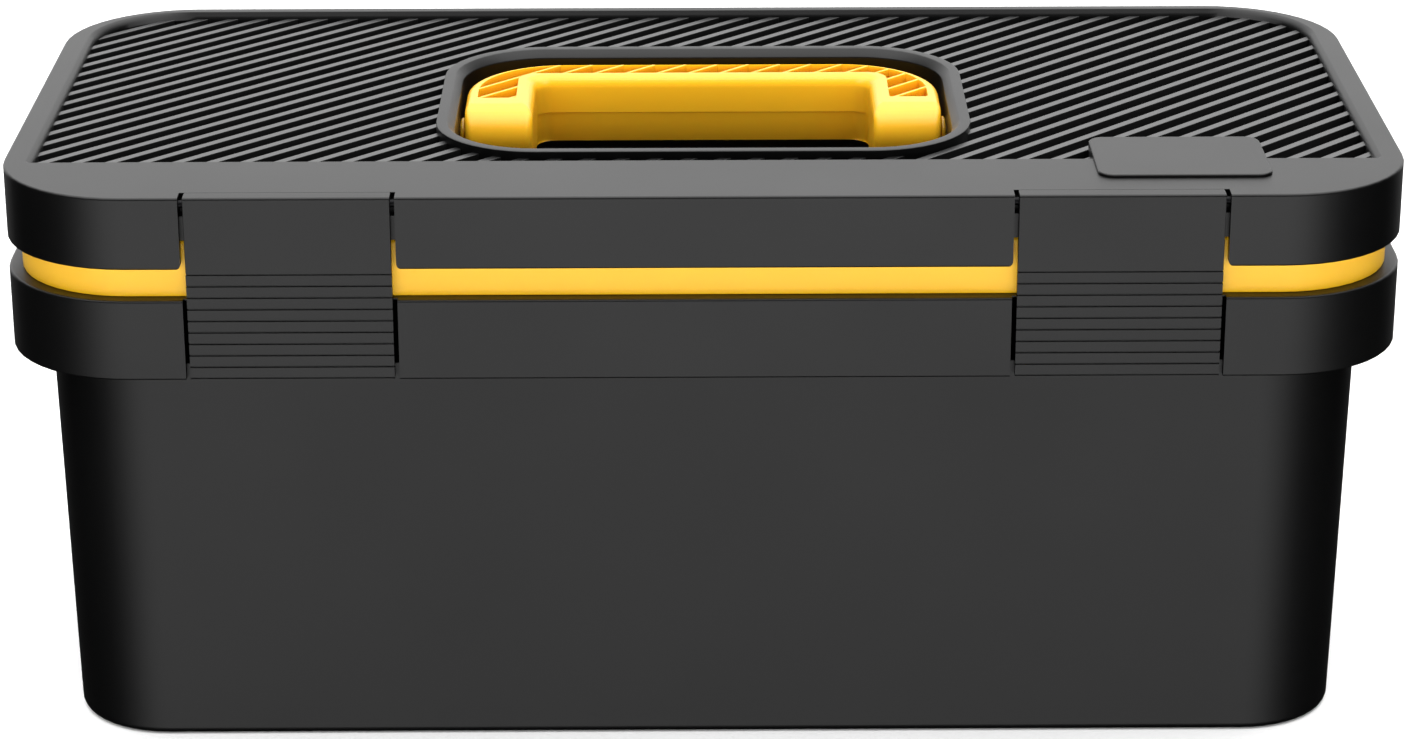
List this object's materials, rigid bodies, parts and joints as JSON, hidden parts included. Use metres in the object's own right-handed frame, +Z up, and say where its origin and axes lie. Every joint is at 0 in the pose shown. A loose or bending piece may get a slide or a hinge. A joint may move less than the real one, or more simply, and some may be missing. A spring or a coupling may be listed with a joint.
{
  "type": "toolbox with tray",
  "caption": "Rectangular moulded plastic toolbox with a hinged ribbed lid, recessed fold-flat handle, front latches and a lift-out tray whose bright rim shows between lid and base.",
  "frame": {"origin": "centre of the flat underside of the tub", "axes": "+X to the right along the box, +Y towards the hinges at the back, +Z up"},
  "size_m": [0.3574, 0.1815, 0.1528],
  "materials": {
    "tub_plastic": "fine-grained matte black polypropylene",
    "lid_plastic": "fine-grained matte black polypropylene",
    "latch_plastic": "satin black polypropylene",
    "tray_plastic": "satin yellow polypropylene",
    "handle_plastic": "smooth yellow polypropylene",
    "divider_plastic": "satin black polypropylene",
    "pin_steel": "drawn bright steel"
  },
  "bodies": {
    "base": {"base_tub": "tub_plastic", "hinge_pin_left": "pin_steel", "hinge_pin_right": "pin_steel"},
    "tray": {"tray": "tray_plastic", "tray_divider_1": "divider_plastic", "tray_divider_2": "divider_plastic", "tray_divider_3": "divider_plastic", "tray_divider_4": "divider_plastic"},
    "lid": {"lid_shell": "lid_plastic", "latch_pin_left": "pin_steel", "latch_pin_right": "pin_steel"},
    "handle": {"handle": "handle_plastic", "handle_pin_left": "handle_plastic", "handle_pin_right": "handle_plastic"},
    "latch_left": {"latch_left": "latch_plastic"},
    "latch_right": {"latch_right": "latch_plastic"}
  },
  "joints": [
    {"name": "lid_hinge", "type": "hinge", "parent": "base", "child": "lid", "pos_m": [0, 0.0905, 0.129], "axis": [-1, 0, 0], "range_deg": [0, 105]},
    {"name": "tray_lift", "type": "slide", "parent": "base", "child": "tray", "axis": [0, 0, 1], "range_m": [0, 0.004]},
    {"name": "handle_fold", "type": "hinge", "parent": "lid", "child": "handle", "pos_m": [0, 0.001, 0.14045], "axis": [1, 0, 0], "range_deg": [0, 90]},
    {"name": "latch_left_swing", "type": "hinge", "parent": "lid", "child": "latch_left", "pos_m": [-0.10365, -0.0848, 0.1498], "axis": [-1, 0, 0], "range_deg": [0, 100]},
    {"name": "latch_right_swing", "type": "hinge", "parent": "lid", "child": "latch_right", "pos_m": [0.10365, -0.0848, 0.1498], "axis": [-1, 0, 0], "range_deg": [0, 100]}
  ]
}
